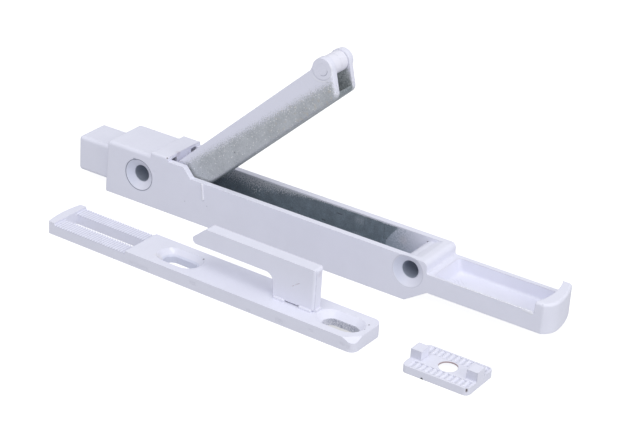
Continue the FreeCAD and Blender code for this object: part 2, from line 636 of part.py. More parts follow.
def slotted_hole(body, name, middle):
    """A countersunk slotted hole, with the long way along the keep."""
    hole = stadium(body, name, middle, "-spare", "hole_radius")
    extrude(body, "Pocket", hole, "XY", "keep_thick + 2 * spare")
    mouth = stadium(body, name + "Mouth", middle, "keep_thick", "hole_sink_radius")
    throat = stadium(body, name + "Throat", middle, "keep_thick - hole_sink_depth", "hole_radius")
    funnel = body.newObject("PartDesign::SubtractiveLoft", name + "Funnel")
    funnel.Profile = mouth
    funnel.Sections = [throat]
    funnel.Ruled = True


def falling_corner(body):
    """The slanting facet at the keep's right front corner, a box tilted about the facet's edge."""
    edge = FreeCAD.Vector(1, 1, 0)
    across = FreeCAD.Rotation(FreeCAD.Vector(0, 0, 1), -45)
    box = body.newObject("PartDesign::SubtractiveBox", "FallingCorner")
    box.Placement.Rotation = FreeCAD.Rotation(edge, number("facet_tilt")) * across
    bind(box, "Placement.Base.x", "keep_length - facet_reach")
    bind(box, "Placement.Base.z", "keep_thick")
    for side in ("Length", "Width", "Height"):
        bind(box, side, "2 * facet_reach")


def keep_plate():
    """The keep's base plate with its serrated rails, slots and roller groove."""
    body = new_body("keep_plate", "keep_x", "keep_y")
    prism(body, "Pad", "PlatePlan", "XY", "0", "keep_thick", (
        ("0", "0"), ("keep_length", "0"), ("keep_length", "keep_width"),
        ("0", "keep_width", "keep_bow")))
    round_edges(body, "RightFrontUpright", "2 * edge_round", lambda b: (
        runs(b, "Z") and near(b.XMax, "keep_length") and b.YMax < 0.1))
    round_edges(body, "RightBackUpright", "2.5 * edge_round", lambda b: (
        runs(b, "Z") and near(b.XMax, "keep_length") and near(b.YMax, "keep_width")))
    round_edges(body, "LeftUprights", "soft_edge", lambda b: runs(b, "Z") and near(b.XMax, "0"))
    block(body, "Subtractive", "RailDrop", ("cap_length", "-spare", "keep_thick - rail_drop"),
          ("rail_end", "keep_width + spare", "keep_thick + spare"))
    block(body, "Subtractive", "LongSlot", ("cap_length", "long_slot_front", "-spare"),
          ("long_slot_end", "long_slot_back", "keep_thick + spare"))
    round_edges(body, "SlotCorners", "soft_edge", lambda b: (
        runs(b, "Z") and near(b.ZMin, "0") and number("long_slot_front") - 0.1 < b.YMin
        and b.YMax < number("long_slot_back") + 0.1))
    middle = "cap_length + tooth_pitch / 2"
    rail_top = "keep_thick - rail_drop"
    notch = prism(body, "Pocket", "Notch", "XZ", "-spare", "keep_width + spare", (
        (middle + " - tooth_half", rail_top), (middle, rail_top + " - tooth_depth"),
        (middle + " + tooth_half", rail_top)))
    row = body.newObject("PartDesign::LinearPattern", "Serrations")
    row.Originals = [notch]
    row.Direction = ([f for f in body.Origin.OriginFeatures if f.Role == "X_Axis"][0], [""])
    bind(row, "Length", "tooth_pitch * (tooth_count - 1)")
    bind(row, "Occurrences", "tooth_count")
    body.Tip = row
    slotted_hole(body, "FirstHole", "hole_first")
    slotted_hole(body, "SecondHole", "(hole_first + hole_spacing)")
    prism(body, "Pocket", "RollerGroove", "YZ", "groove_left", "groove_right", (
        ("groove_front", "keep_thick", "-groove_front_bow"),
        ("groove_foot", "keep_thick - groove_depth", "-groove_back_bow"),
        ("groove_back", "keep_thick"), ("groove_back", "keep_thick + spare"),
        ("groove_front", "keep_thick + spare")))
    falling_corner(body)
    for name, left, right in (("First", "foot_left", "foot_left_end"),
                              ("Second", "foot_right", "foot_right_end")):
        block(body, "Subtractive", name + "FootHole", (left, "hook_front", "-spare"),
              (right, "hook_back", "keep_thick + spare"))
    turn_body(body, FreeCAD.Vector(0, 0, 1), "keep_turn")


def keep_hook():
    """The upright hook with the two feet that are staked into the plate."""
    body = new_body("keep_hook", "keep_x", "keep_y")
    low = "keep_thick + hook_lift"
    prism(body, "Pad", "Blade", "XZ", "hook_front", "hook_back", (
        ("hook_left", low), ("hook_right", low), ("hook_right", "hook_top"),
        ("finger_slant", "hook_top"), ("finger_tip", "finger_slant_low"),
        ("finger_tip", "finger_bottom"), ("hook_left", "finger_bottom")))
    round_edges(body, "InsideHook", "finger_inner", lambda b: (
        runs(b, "Y") and near(b.XMax, "hook_left") and near(b.ZMax, "finger_bottom")))
    round_edges(body, "FingerTip", "edge_round + soft_edge", lambda b: (
        runs(b, "Y") and near(b.XMax, "finger_tip") and near(b.ZMax, "finger_bottom")))
    round_edges(body, "FingerCrest", "edge_round", lambda b: (
        runs(b, "Y") and (near(b.XMax, "finger_tip") or near(b.XMax, "finger_slant"))
        and b.ZMin > number("finger_bottom") + 1.5))
    round_edges(body, "RightSide", "2 * soft_edge", lambda b: (
        near(b.XMax, "hook_right") and (runs(b, "Z") or runs(b, "Y") and near(b.ZMax, "hook_top"))))
    for name, left, right, front, back in (
            ("First", "foot_left - soft_edge", "foot_left_end", "hook_front - bead", "hook_front + bead"),
            ("Second", "foot_right", "foot_right_end", "hook_front - bead", "hook_front + bead"),
            ("Side", "hook_right - bead", "hook_right + bead", "hook_front + bead", "hook_back - bead")):
        block(body, "Additive", name + "Bead", (left, front, "keep_thick"),
              (right, back, "keep_thick + bead_height"))
    round_edges(body, "Beads", "bead / 2", lambda b: (
        b.ZMax > number("keep_thick") + 0.1 and b.ZMax < number("keep_thick + bead_height") + 0.1
        and (b.YMin < number("hook_front") - 0.1 or b.XMax > number("hook_right") + 0.1)))
    for name, left, right in (("First", "foot_left", "foot_left_end"),
                              ("Second", "foot_right", "foot_right_end")):
        block(body, "Additive", name + "Foot", (left, "hook_front", "foot_bottom"),
              (right, "hook_back", low + " + soft_edge"))
    turn_body(body, FreeCAD.Vector(0, 0, 1), "keep_turn")


def clamp_hole(body):
    """The clamping plate's screw hole, which widens towards the hollow below it."""
    top = "clamp_thick"
    sketch = outline(body, "ScrewHole", "XZ", "clamp_hole_y", (
        ("0", top + " - clamp_roof - spare"), ("clamp_hole_wide", top + " - clamp_roof - spare"),
        ("clamp_hole_wide", top + " - clamp_roof"), ("clamp_hole_radius", top + " - clamp_hole_land"),
        ("clamp_hole_radius", top + " + spare"), ("0", top + " + spare")), "clamp_hole_x")
    groove = body.newObject("PartDesign::Groove", "ScrewHoleGroove")
    groove.Profile = sketch
    groove.ReferenceAxis = (sketch, ["V_Axis"])
    groove.Angle = 360
    sketch.Visibility = False


def clamp_plate():
    """The small plate with two rows of ridges and a lug at each end."""
    body = new_body("clamp_plate", "clamp_x", "clamp_y")
    block(body, "Additive", "Plate", ("0", "0", "0"),
          ("clamp_length", "clamp_width", "clamp_thick"))
    round_edges(body, "PlateCorners", "edge_round + soft_edge", lambda b: runs(b, "Z"))
    for name, left, right in (("Left", "0", "lug_block"),
                              ("Right", "clamp_length - lug_block", "clamp_length")):
        block(body, "Additive", name + "Lug", (left, "lug_block_front", "clamp_thick - soft_edge"),
              (right, "lug_block_back", "clamp_thick + lug_block_rise"))
    block(body, "Subtractive", "Hollow", ("clamp_wall", "clamp_wall", "-spare"),
          ("clamp_length - clamp_wall", "clamp_width - clamp_wall", "clamp_thick - clamp_roof"))
    clamp_hole(body)
    for name, low, high in (("Front", "ridge_front", "ridge_front_end"),
                            ("Back", "ridge_back", "ridge_back_end")):
        notch = prism(body, "Pocket", name + "Notch", "XZ", low, high, (
            ("ridge_first - ridge_half", "clamp_thick"),
            ("ridge_first", "clamp_thick - ridge_depth"),
            ("ridge_first + ridge_half", "clamp_thick")))
        row = body.newObject("PartDesign::LinearPattern", name + "Ridges")
        row.Originals = [notch]
        row.Direction = ([f for f in body.Origin.OriginFeatures if f.Role == "X_Axis"][0], [""])
        bind(row, "Length", "ridge_pitch * (ridge_count - 1)")
        bind(row, "Occurrences", "ridge_count")
        body.Tip = row


def write_parts():
    """Checks every object and writes each piece to its own file."""
    doc.recompute()
    for thing in doc.Objects:
        if {"Invalid", "Error"} & set(thing.State):
            raise RuntimeError("%s failed: %s" % (thing.Label, thing.getStatusString()))
    os.makedirs("parts", exist_ok=True)
    for part in parts:
        shape = part.Shape
        if shape.isNull() or not shape.isValid() or len(shape.Solids) != 1:
            raise RuntimeError("%s has no sound solid" % part.Label)
        shape.exportStep("parts/%s.step" % part.Label)
        box = shape.BoundBox
        print("%-16s %9.1f mm3  x %.2f %.2f  y %.2f %.2f  z %.2f %.2f" % (
            part.Label, shape.Volume, box.XMin, box.XMax, box.YMin, box.YMax, box.ZMin, box.ZMax))


body_casting()
release_slide()
return_spring()
slide_stop_pin()
pivot_pin()
swing_arm()
roller()
roller_pin()
keep_plate()
keep_hook()
clamp_plate()
write_parts()
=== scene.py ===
"""Looks of a white die-cast window restrictor: the arm unit, its hooked keep and clamping plate.

Lengths are millimetres in the frame of the part until they go into a mesh or a material, where
MM makes them metres. X runs along the arm unit, Y from front to back, and Z is up.
"""

import math

import bpy
import numpy as np
from mathutils import Euler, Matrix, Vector


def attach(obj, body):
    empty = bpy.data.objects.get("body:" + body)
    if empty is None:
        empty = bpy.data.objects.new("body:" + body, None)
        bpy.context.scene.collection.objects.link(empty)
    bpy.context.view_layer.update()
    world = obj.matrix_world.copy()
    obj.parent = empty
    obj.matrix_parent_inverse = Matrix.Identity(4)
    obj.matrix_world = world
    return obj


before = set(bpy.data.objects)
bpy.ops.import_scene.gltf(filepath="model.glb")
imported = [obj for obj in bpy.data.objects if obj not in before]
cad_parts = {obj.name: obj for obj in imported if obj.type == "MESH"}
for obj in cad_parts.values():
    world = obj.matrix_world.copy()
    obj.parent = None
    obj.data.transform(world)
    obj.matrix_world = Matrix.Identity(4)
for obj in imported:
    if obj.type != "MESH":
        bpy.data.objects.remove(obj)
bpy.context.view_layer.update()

MM = 0.001

# The arm unit: its front corner, walls and rims, where its bare zinc ends, and its mould line
UNIT_X, UNIT_Y = -62.9, 8.45
BODY_DEPTH, WALL = 14.65, 1.8
BACK = UNIT_Y + BODY_DEPTH
RIM_TOP = 12.45
TRAY_RIM = 9.32
TRAY_LEFT, TRAY_RIGHT = UNIT_X + 108.0, UNIT_X + 132.9
MASK_END, MASK_LEANS_FROM = UNIT_X + 82.5, 7.4
MOULD_LINE_FOOT, MOULD_LINE_TOP = (UNIT_X + 32.5, UNIT_Y, 7.4), (UNIT_X + 31.9, UNIT_Y, 12.6)

# Its screw holes and their countersinks
SCREW_LEFT, SCREW_RIGHT, SCREW_HEIGHT = UNIT_X + 10.66, UNIT_X + 96.7, 8.3
SINK_RADIUS, SINK_DEPTH, SCREW_RADIUS = 4.5, 1.45, 2.4

# The arm: places along it and above its pivot, at the angle that it is raised to
PIVOT = (UNIT_X + 23.5, 12.3)
ARM_RAISE = math.radians(43.3)
ARM_MIDDLE = UNIT_Y + BODY_DEPTH / 2
ARM_FRONT, ARM_INNER_HALF = ARM_MIDDLE - 5.0, 3.0
ARM_END, ARM_END_SLANT = 62.7, 0.42
WEB_TOP, WEB_BOTTOM = -5.5, -6.7
COAT_EDGE_START, COAT_EDGE_SLOPE = 1.45, 0.066
DISC_EDGE, DISC_EDGE_RADIUS = (59.15, 1.65), 3.25
PIN_SHADE, PIN_SHADE_RADIUS = (59.5, 1.25), 1.5

# The keep: its left front corner, its turn, its two slotted holes and its serrated rails
KEEP = (-58.86, -21.41)
KEEP_TURN = math.radians(-1.0)
KEEP_THICK = 3.58
HOLE_MIDDLE, HOLE_RADIUS, HOLE_RUN = 6.45, 2.35, 2.65
NEAR_HOLE, FAR_HOLE = 39.1, 89.1
RAIL_START, RAIL_END, RAIL_TOP, TOOTH_PITCH = 2.0, 26.0, 3.03, 0.857

# The clamping plate: its left front corner, its hole, its ridges and its lugs
CLAMP = (51.55, -22.45)
CLAMP_THICK = 2.0
CLAMP_HOLE, CLAMP_HOLE_RADIUS = (9.45, 6.1), 2.42
RIDGE_FIRST, RIDGE_PITCH = 2.2, 1.5
RIDGE_ROWS_MIDDLE, RIDGE_ROW_OFFSET = 6.2, 4.25
LUG_FRONT = 4.1

# Colours, as linear light
COAT = (0.825, 0.83, 0.93, 1)
COAT_THIN = (0.78, 0.785, 0.885, 1)
COAT_BRIGHT = (0.93, 0.935, 0.98, 1)
CHANNEL_DARK = (0.11, 0.15, 0.18, 1)
CHANNEL_LIGHT = (0.40, 0.50, 0.58, 1)
OVERSPRAY = (0.92, 0.92, 0.96, 1)
MASK_GREY = (0.34, 0.40, 0.47, 1)
BORE_ZINC = (0.42, 0.46, 0.55, 1)
DEEP_BORE_ZINC = (0.50, 0.54, 0.62, 1)
ARM_DARK = (0.45, 0.475, 0.495, 1)
ARM_LIGHT = (0.64, 0.665, 0.69, 1)
ARM_SPECK = (0.95, 0.94, 0.92, 1)
ARM_BLUSH = (0.66, 0.58, 0.44, 1)
TROUGH_DARK = (0.34, 0.37, 0.38, 1)
TROUGH_LIGHT = (0.62, 0.65, 0.66, 1)
# Dark grey for seams, pits and chips, and also for painted shade in grooves, creases and on dim
# faces
SEAM_SHADE = (0.22, 0.24, 0.33, 1)
PIT_BROWN = (0.10, 0.07, 0.065, 1)
# Near black for pits, nicks and nubs, and also for painted shade in the tongue's pockets
PIT_AND_SHADE_BLACK = (0.05, 0.055, 0.065, 1)
SMUDGE = (0.72, 0.64, 0.64, 1)
# Dark mauve for smudges and smears, and also for the painted shade under the tray's rim
SMUDGE_AND_SHADE_DARK = (0.46, 0.36, 0.42, 1)
STAIN = (0.80, 0.76, 0.70, 1)
RUST = (0.32, 0.15, 0.12, 1)
KEEP_BORE_DARK = (0.36, 0.38, 0.46, 1)
KEEP_BORE_LIGHT = (0.82, 0.82, 0.88, 1)
# Bluish grey of painted shade in the countersinks and in the keep's near hole
SHADE_BLUE = (0.62, 0.66, 0.80, 1)
NYLON = (0.86, 0.855, 0.935, 1)
STEEL = (0.45, 0.46, 0.48, 1)
FLOOR_GREY = (0.4, 0.4, 0.4, 1)
BLACK, WHITE = (0, 0, 0, 1), (1, 1, 1, 1)

# Rows of small marks: the middle, the half sizes, the soft edge and the strength of each

# Scratches and stains on the channel's back wall, along and up from the unit's corner
CHANNEL_NICKS = (
    ((62.8, 6.8), (0.5, 0.08), 0.25, 1.0),
    ((67.6, 10.2), (0.7, 0.06), 0.2, 1.0),
    ((82.55, 6.9), (0.06, 1.0), 0.2, 1.0),
    ((81.6, 9.6), (0.04, 2.0), 0.15, 0.6),
    ((75.5, 10.3), (0.04, 1.0), 0.15, 0.5),
    ((52.5, 7.0), (0.2, 0.15), 0.3, 0.6),
    ((54.6, 6.6), (0.1, 0.1), 0.25, 0.6),
)

# Pale blotches on the same wall
CHANNEL_BLOTCHES = (
    ((73.8, 10.2), (0.9, 0.5), 0.8, 1.0),
    ((73.4, 6.3), (0.7, 0.1), 0.7, 1.0),
)

# Knocks on the keep's front face, along and up from its corner
KEEP_KNOCKS = (
    ((30.5, 0.7), (2.6, 0.1), 0.9, 1.0),
    ((48.0, 1.9), (0.8, 0.3), 0.5, 1.0),
    ((65.6, 0.5), (0.4, 0.2), 0.5, 1.0),
    ((75.0, 1.0), (0.9, 0.4), 0.5, 1.0),
    ((84.5, 1.9), (0.5, 0.2), 0.5, 1.0),
    ((93.8, 1.6), (0.5, 0.2), 0.5, 1.0),
    ((95.6, 1.2), (0.3, 0.4), 0.5, 1.0),
)

# Blowholes in the keep's top, along and across from its corner
KEEP_PITS = (
    ((44.0, 9.9), (0.1, 0.1), 0.2, 1.0),
    ((95.5, 9.25), (0.05, 0.1), 0.2, 1.0),
    ((95.9, 6.7), (0.05, 0.05), 0.2, 0.5),
)


class Wire:
    """A shader socket that takes part in Python sums and adds the Math nodes that they need."""

    def __init__(self, tree, socket):
        self.tree = tree
        self.socket = socket

    def node(self, kind, settings=None, sockets=None, output=0):
        """Adds a node, sets its settings, then the values or links of its sockets."""
        made = self.tree.nodes.new(kind)
        for name, value in (settings or {}).items():
            setattr(made, name, value)
        for name, value in (sockets or {}).items():
            if isinstance(value, Wire):
                self.tree.links.new(value.socket, made.inputs[name])
            else:
                made.inputs[name].default_value = value
        return Wire(self.tree, made.outputs[output])

    def maths(self, operation, *values):
        """A Math node of one operation on sockets and numbers."""
        return self.node("ShaderNodeMath", {"operation": operation}, dict(enumerate(values)))

    def __add__(self, other):
        return self.maths("ADD", self, other)

    def __sub__(self, other):
        return self.maths("SUBTRACT", self, other)

    def __rsub__(self, other):
        return self.maths("SUBTRACT", other, self)

    def __mul__(self, other):
        return self.maths("MULTIPLY", self, other)

    def __truediv__(self, other):
        return self.maths("DIVIDE", self, other)

    def __abs__(self):
        return self.maths("ABSOLUTE", self)

    __radd__ = __add__
    __rmul__ = __mul__

    def above(self, low, high):
        """Rises smoothly from 0 where the value is low to 1 where it is high."""
        return self.node("ShaderNodeMapRange", {"interpolation_type": "SMOOTHSTEP"},
                         {"Value": self, "From Min": low, "From Max": high})

    def below(self, low, high):
        """Falls smoothly from 1 where the value is low to 0 where it is high."""
        return 1 - self.above(low, high)

    def within(self, middle, half, soft):
        """1 up to a half width on both sides of a middle value, and 0 past a soft edge."""
        return abs(self - middle).below(half, half + soft)

    def valley(self, first, pitch, half, soft):
        """1 on evenly spaced lines, each with a half width and a soft edge."""
        phase = self.maths("WRAP", self - first + pitch / 2, pitch, 0.0)
        return phase.within(pitch / 2, half, soft)

    def most(self, other):
        """The larger of two values."""
        return self.maths("MAXIMUM", self, other)

    def reach(self, other):
        """Distance from nought of a point whose two coordinates are these values."""
        return self.maths("SQRT", self * self + other * other)


class Finish:
    """A new material with its shader, and the coordinates of the part in millimetres."""

    def __init__(self, name):
        self.material = bpy.data.materials.new(name)
        self.material.use_nodes = True
        tree = self.material.node_tree
        self.shader = tree.nodes["Principled BSDF"]
        self.start = Wire(tree, None)
        place = self.start.node("ShaderNodeTexCoord", output="Object")
        self.place = self.start.node("ShaderNodeVectorMath", {"operation": "SCALE"},
                                     {"Vector": place, "Scale": 1 / MM})
        self.x, self.y, self.z = (
            self.start.node("ShaderNodeSeparateXYZ", sockets={"Vector": self.place}, output=axis)
            for axis in "XYZ")

    def noise(self, size, detail=2.0, roughness=0.5, place=None):
        """Even noise from 0 to 1 whose lumps are about size millimetres across."""
        return self.start.node("ShaderNodeTexNoise",
                               sockets={"Vector": place or self.place, "Scale": 1 / size,
                                        "Detail": detail, "Roughness": roughness}, output="Fac")

    def streaks(self, size, long_axis, stretch=6.0):
        """Noise that is drawn out along one axis, X, Y or Z."""
        squeeze = [1 / stretch if axis == long_axis else 1.0 for axis in "XYZ"]
        drawn = self.start.node("ShaderNodeVectorMath", {"operation": "MULTIPLY"},
                                {0: self.place, 1: squeeze})
        return self.noise(size, place=drawn)

    def cells(self, size):
        """Distance from the nearest of many scattered points, about size millimetres apart."""
        return self.start.node("ShaderNodeTexVoronoi",
                               sockets={"Vector": self.place, "Scale": 1 / size},
                               output="Distance")

    def between(self, mask, first, second):
        """The first colour where the mask is 0 and the second where it is 1."""
        return self.start.node("ShaderNodeMix", {"data_type": "RGBA"},
                               {0: mask, 6: first, 7: second}, output=2)

    def layered(self, colour, *layers):
        """Lays colours over the first one, each given as a mask, its strength and the colour."""
        for mask, strength, layer in layers:
            colour = self.between(mask * strength, colour, layer)
        return colour

    def near(self, point, radius, soft):
        """A round spot about a point, 1 inside and falling to 0 over the soft edge."""
        away = self.start.node("ShaderNodeVectorMath", {"operation": "DISTANCE"},
                               {0: self.place, 1: point}, output="Value")
        return away.below(radius, radius + soft)

    def spots(self, points, radius, soft):
        """Round spots about several points."""
        found = 0
        for point in points:
            found = self.near(point, radius, soft).most(found)
        return found

    def paint(self, **sockets):
        """Sets or links sockets of the material's shader, named with _ for a space."""
        for name, value in sockets.items():
            target = self.shader.inputs[name.replace("_", " ")]
            if isinstance(value, Wire):
                self.material.node_tree.links.new(value.socket, target)
            else:
                target.default_value = value

    def relief(self, height, distance, edge=0.25):
        """Normals from a height map, over edges softened to a radius in millimetres."""
        soft = self.start.node("ShaderNodeBevel", {"samples": 6}, {"Radius": edge * MM})
        return self.start.node("ShaderNodeBump", sockets={
            "Height": height, "Distance": distance * MM, "Strength": 1.0, "Normal": soft})


def patch(first, second, middle, half, soft):
    """A soft rectangle in two coordinates about a middle, of half sizes along each."""
    return first.within(middle[0], half[0], soft) * second.within(middle[1], half[1], soft)


def marks(first, second, rows):
    """The strongest of several soft rectangles, from rows as they are listed above."""
    found = 0
    for middle, half, soft, strength in rows:
        found = (patch(first, second, middle, half, soft) * strength).most(found)
    return found


def coat_height(finish):
    """The powder coat's faint waves, orange peel and few pits, as a height from 0 to about 1."""
    waves = finish.noise(3.5, detail=1.0)
    peel = finish.noise(0.7, detail=2.0)
    pits = finish.cells(2.4).below(0.02, 0.09)
    return waves * 0.6 + peel * 0.25 - pits * 0.25


def coat_colour(finish):
    """The white coat with its faint cloudiness."""
    cloud = finish.noise(6.0, detail=3.0).above(0.3, 0.7)
    return finish.between(cloud * 0.35, COAT, COAT_THIN)


def coat_roughness(finish):
    """Satin gloss that varies a little from place to place."""
    return finish.noise(1.5, detail=3.0) * 0.15 + 0.33


def zinc_colour(finish, light, dark, cloudiness=0.3):
    """Bare cast zinc: fine light and dark grains over a slow change of tone."""
    grain = finish.noise(0.28, detail=3.0, roughness=0.7).above(0.32, 0.68)
    cloud = finish.noise(3.0, detail=2.0).above(0.3, 0.7)
    return finish.between(grain * (0.9 - cloudiness) + cloud * cloudiness, dark, light)


def on_unit(along, back, up):
    """A place on the arm unit, along and back from its left front corner and up from the floor."""
    return (UNIT_X + along, UNIT_Y + back, up)


def front_face(finish):
    """1 on the front face of the casting and in the mouths of its countersinks."""
    return finish.y.below(UNIT_Y + 0.2, UNIT_Y + 0.35)


def channel_masks(finish):
    """Where the channel's inside is bare, where it is thinly coated, and how far down it is."""
    wander = finish.noise(1.2, detail=3.0) - 0.5
    drop = RIM_TOP - 0.3 + wander * 0.3 - finish.z
    inside = (finish.y.above(UNIT_Y + WALL - 0.15, UNIT_Y + WALL + 0.05)
              * finish.y.below(BACK - WALL - 0.05, BACK - WALL + 0.15) * drop.above(0, 0.12))
    lean = (finish.z - MASK_LEANS_FROM).most(0) * 0.7
    masked = (MASK_END + lean + wander * 0.6 - finish.x).above(0, 0.25)
    return inside * masked, inside * (1 - masked), drop


def channel_colour(finish, drop):
    """Bare dark zinc of the channel, under the grains of coat that drifted in at the rim."""
    along = finish.x - UNIT_X
    streaky = finish.streaks(0.9, "Z").above(0.35, 0.75)
    mottle = finish.noise(0.6, detail=3.0, roughness=0.8).above(0.42, 0.62)
    grain = finish.noise(0.3, detail=1.0, roughness=0.7)
    drift_depth = along.below(38, 64) * 3.2 + 0.35
    drift = ((grain - 0.5) * 4.0 + 1.0 - drop / drift_depth).above(0.2, 0.7)
    sparkle = (finish.cells(0.75).below(0.2, 0.42)
               * finish.near(on_unit(41, BODY_DEPTH - WALL, 10.7), 1.8, 2.6))
    blotch = marks(along, finish.z, CHANNEL_BLOTCHES) * grain.above(0.35, 0.7)
    light = (drift * 0.9).most(sparkle).most(blotch * 0.35)
    return finish.layered(
        zinc_colour(finish, CHANNEL_LIGHT, CHANNEL_DARK),
        (streaky, 0.15, CHANNEL_DARK),
        (mottle, 0.4, CHANNEL_DARK),
        (light, 1, OVERSPRAY),
        (marks(along, finish.z, CHANNEL_NICKS), 0.8, PIT_AND_SHADE_BLACK))


def thin_colour(finish):
    """The coat right of the masked edge, which starts as grey speckles and grows full."""
    grain = finish.noise(0.4, detail=3.0, roughness=0.75) - 0.5
    east = finish.x - MASK_END
    full = east / 10.5 + (finish.z - 6.0) / 26 + grain * (east.below(2, 9) * 2.4 + 0.4)
    smudge = finish.near(on_unit(87.5, BODY_DEPTH - WALL, 9.0), 0.4, 1.6)
    return finish.layered(
        finish.between(full.above(0.1, 1.2), MASK_GREY, coat_colour(finish)),
        (smudge, 0.25, SMUDGE))


def from_screw(finish, screw_x):
    """Distance from the line through the middle of a screw hole."""
    return (finish.x - screw_x).reach(finish.z - SCREW_HEIGHT)


def bore_mask(finish, screw_x):
    """The bare wall of a screw hole, behind its countersink."""
    floor_y = UNIT_Y + SINK_DEPTH
    return (from_screw(finish, screw_x).below(SCREW_RADIUS + 0.1, SCREW_RADIUS + 0.2)
            * finish.y.above(floor_y - 0.05, floor_y + 0.15))


def sink_ring(finish, screw_x):
    """The thin line round the mouth of a countersink."""
    return from_screw(finish, screw_x).within(SINK_RADIUS, 0.05, 0.12) * front_face(finish)


def sink_chip(finish):
    """The rough place at the top of the left countersink's mouth."""
    spot = finish.near(on_unit(9.1, 0, SCREW_HEIGHT + 4.15), 0.2, 0.9)
    return (spot * finish.noise(0.3)).above(0.3, 0.6)


def funnel_shade(finish):
    """Painted shade on the left side of each countersink, a little bluer and darker."""
    shade = 0
    for screw_x in (SCREW_LEFT, SCREW_RIGHT):
        funnel = from_screw(finish, screw_x).below(SINK_RADIUS - 0.4, SINK_RADIUS)
        shade = funnel * finish.x.below(screw_x - 3.5, screw_x + 1.0) + shade
    return shade * finish.y.within(UNIT_Y + SINK_DEPTH / 2 + 0.1, SINK_DEPTH / 2, 0.1)


def mould_shade(finish):
    """The thin shade on the right of the raised mould line, which leans slightly to the left."""
    east = finish.x - MOULD_LINE_FOOT[0] - 0.15 + (finish.z - 7.5) * 0.108
    return east.within(0, 0.03, 0.15) * finish.z.within(10.1, 2.4, 0.4) * front_face(finish)


def tongue_pocket_shade(finish):
    """Painted shade in the pockets on both sides of the tongue that the arm's heel turns in."""
    aside = abs(finish.y - ARM_MIDDLE)
    return (aside.within(4.4, 1.0, 0.15) * finish.z.within(13.2, 1.8, 0.1)
            * finish.x.within(UNIT_X + 17.8, 2.3, 0.1))


def rim_edges(finish):
    """The thin shade under the rim round the tray's pocket."""
    along, back = finish.x - UNIT_X, finish.y - UNIT_Y
    inside = (along.within(118.5, 15.2, 0.2) * back.above(0.6, 0.7)
              * back.below(BODY_DEPTH - 1.3, BODY_DEPTH - 1.2))
    return inside * finish.z.within(TRAY_RIM - 0.16, 0.08, 0.12)


def tray_crinkle(finish):
    """Fine wrinkles of the coat at the left of the tray's floor, for their bumps and for painted
    shade in their creases.
    """
    wave = finish.start.node("ShaderNodeTexWave", {"bands_direction": "DIAGONAL"},
                             {"Vector": finish.place, "Scale": 0.45, "Distortion": 6.0,
                              "Detail": 2.0, "Detail Scale": 1.2}, output="Fac")
    return wave.above(0.75, 1.0) * finish.near(on_unit(107.2, 8.0, 5.4), 1.2, 1.6)


def casting_finish():
    """The body: white outside, bare dark zinc in the channel and in its screw holes."""
    finish = Finish("coated_casting")
    bare, thin, drop = channel_masks(finish)
    left_ring, right_ring = (sink_ring(finish, screw_x) for screw_x in (SCREW_LEFT, SCREW_RIGHT))
    chip = sink_chip(finish)
    band_smudge = finish.near(on_unit(20.3, 4.8, 16.0), 0.3, 1.1)
    crinkle = tray_crinkle(finish)
    deep_pits = finish.spots((on_unit(20.0, 0, 16.3),
                              on_unit(94.8, BODY_DEPTH - WALL, 10.8)), 0.18, 0.25)
    small_pits = finish.spots((on_unit(33.7, 0, 6.15), on_unit(26.4, 0, 5.3),
                               on_unit(134.9, 0.3, 12.1)), 0.05, 0.3)
    dimple = finish.near(on_unit(16.0, 0, 10.7), 0.25, 0.5)
    colour = finish.layered(
        coat_colour(finish),
        (thin, 1, thin_colour(finish)),
        (bare, 1, channel_colour(finish, drop)),
        (bore_mask(finish, SCREW_LEFT), 1, DEEP_BORE_ZINC),
        (bore_mask(finish, SCREW_RIGHT), 1, BORE_ZINC),
        (left_ring.most(chip), 0.85, SEAM_SHADE),
        (right_ring, 0.16, SEAM_SHADE),
        (mould_shade(finish), 0.35, SEAM_SHADE),
        # Painted shade on the left side of both countersinks
        (funnel_shade(finish), 0.55, SHADE_BLUE),
        (band_smudge, 0.3, SMUDGE_AND_SHADE_DARK),
        # Painted shade in the creases of the tray's wrinkles
        (crinkle, 0.13, SEAM_SHADE),
        # Painted shade under the tray's rim
        (rim_edges(finish), 0.08, SMUDGE_AND_SHADE_DARK),
        # Painted shade: the tongue's pockets darkened nearly to black
        (tongue_pocket_shade(finish), 0.9, PIT_AND_SHADE_BLACK),
        (deep_pits, 1, PIT_BROWN),
        (small_pits, 0.28, SEAM_SHADE))
    height = (coat_height(finish) - left_ring * 1.6 - right_ring * 0.8 - chip - deep_pits * 2
              - small_pits - dimple * 0.7 + crinkle * 0.8)
    finish.paint(Base_Color=colour, Roughness=coat_roughness(finish) + bare * 0.12,
                 Metallic=bare * 0.5, Normal=finish.relief(height, 0.06, 0.22))
    return finish.material


def arm_place(finish):
    """Distances along the raised arm from its pivot, above it, and from the arm's middle."""
    east, up = finish.x - PIVOT[0], finish.z - PIVOT[1]
    along = east * math.cos(ARM_RAISE) + up * math.sin(ARM_RAISE)
    above = up * math.cos(ARM_RAISE) - east * math.sin(ARM_RAISE)
    return along, above, abs(finish.y - ARM_MIDDLE)


def ear_front(finish):
    """1 on the front face of the near ear, its disc and the pin's end in it."""
    return finish.y.below(ARM_FRONT + 0.3, ARM_FRONT + 0.5)


def pin_shade(finish):
    """The dark line under the end of the roller's pin on the near ear."""
    along, above, _ = arm_place(finish)
    from_middle = (along - PIN_SHADE[0]).reach(above - PIN_SHADE[1])
    return (from_middle.within(PIN_SHADE_RADIUS, 0.03, 0.11) * above.below(0.1, 0.7)
            * ear_front(finish))


